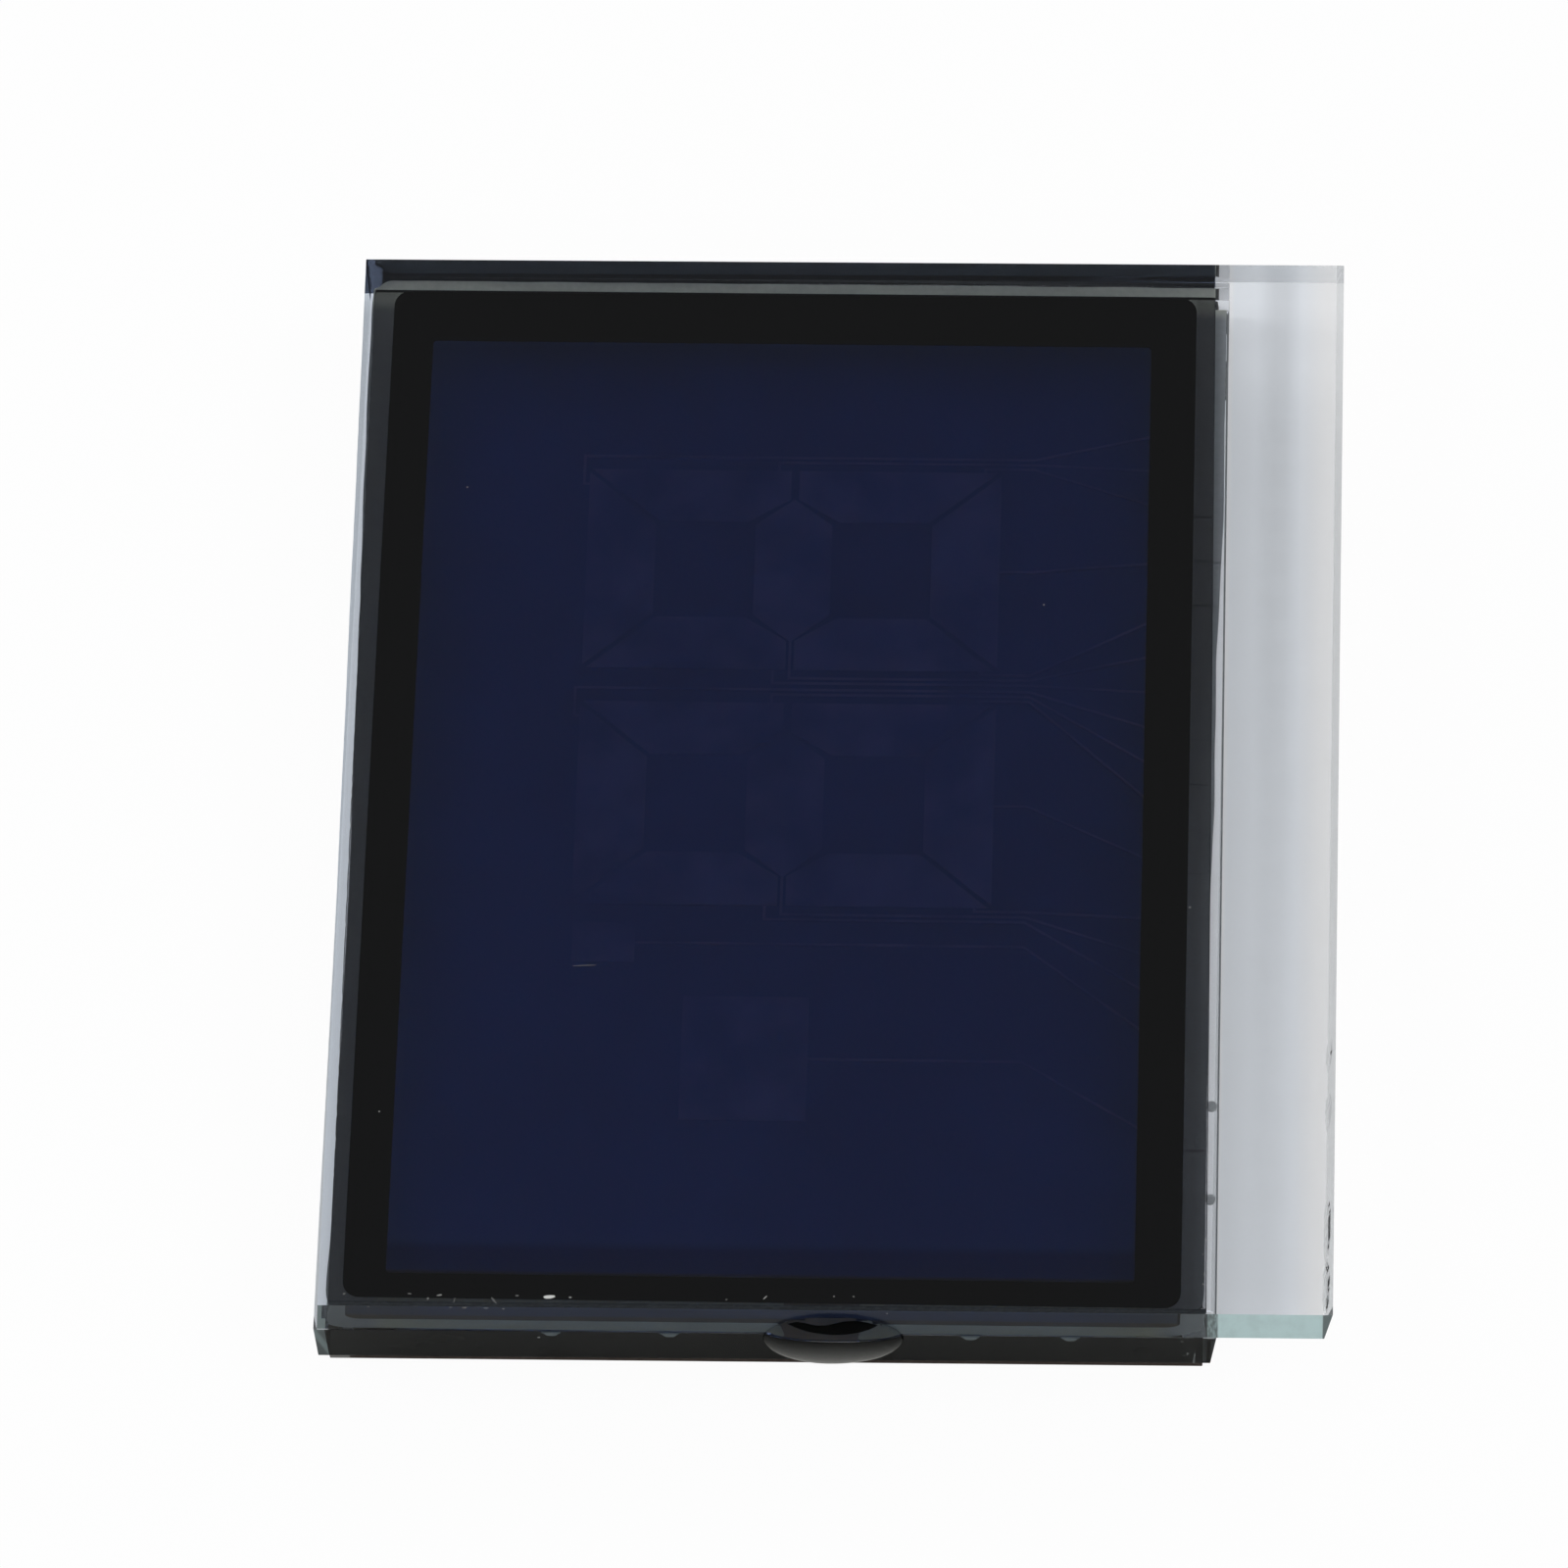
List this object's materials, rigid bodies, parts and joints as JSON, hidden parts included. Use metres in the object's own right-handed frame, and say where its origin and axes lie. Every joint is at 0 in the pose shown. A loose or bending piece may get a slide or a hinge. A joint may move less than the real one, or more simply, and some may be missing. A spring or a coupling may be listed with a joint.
{
  "type": "lcd glass cell",
  "caption": "Two glass plates sealed round a liquid crystal layer, with a polarizer on each outer face, a black frame round the dark blue window and a clear contact ledge along one side.",
  "frame": {"origin": "on the rear polarizer's outer face, under the middle of the front glass plate in plan", "axes": "+X towards the contact ledge, +Y away from the filling port, +Z out of the viewing face"},
  "size_m": [0.0181, 0.0212, 0.0026],
  "materials": {
    "display_glass": "clear float glass with a faint teal tint at its scribed edges",
    "polarizer_film": "near-black laminated film with a smooth satin face",
    "frame_ink": "black printed ink",
    "seal_adhesive": "grey-teal cured sealing adhesive",
    "port_resin": "glossy cured resin",
    "clear_oxide": "clear conductive oxide film",
    "liquid_crystal_fill": "clear fluid that looks dark blue between the polarizers",
    "silver_paste": "dull grey silver-filled adhesive"
  },
  "bodies": {
    "root": {"front_polarizer": "polarizer_film", "black_frame_print": "frame_ink", "front_glass": "display_glass", "digit_1_segment_a": "clear_oxide", "digit_1_segment_b": "clear_oxide", "digit_1_segment_c": "clear_oxide", "digit_1_segment_d": "clear_oxide", "digit_1_segment_e": "clear_oxide", "digit_1_segment_f": "clear_oxide", "digit_1_segment_g": "clear_oxide", "digit_2_segment_a": "clear_oxide", "digit_2_segment_b": "clear_oxide", "digit_2_segment_c": "clear_oxide", "digit_2_segment_d": "clear_oxide", "digit_2_segment_e": "clear_oxide", "digit_2_segment_f": "clear_oxide", "digit_2_segment_g": "clear_oxide", "small_mark_segment": "clear_oxide", "large_mark_segment": "clear_oxide", "common_contact_1": "clear_oxide", "common_contact_2": "clear_oxide", "common_electrode_1": "clear_oxide", "common_electrode_2": "clear_oxide", "transfer_dot_1": "silver_paste", "transfer_dot_2": "silver_paste", "liquid_crystal": "liquid_crystal_fill", "perimeter_seal": "seal_adhesive", "end_seal_plug": "port_resin", "rear_glass": "display_glass", "rear_polarizer": "polarizer_film"}
  },
  "joints": []
}
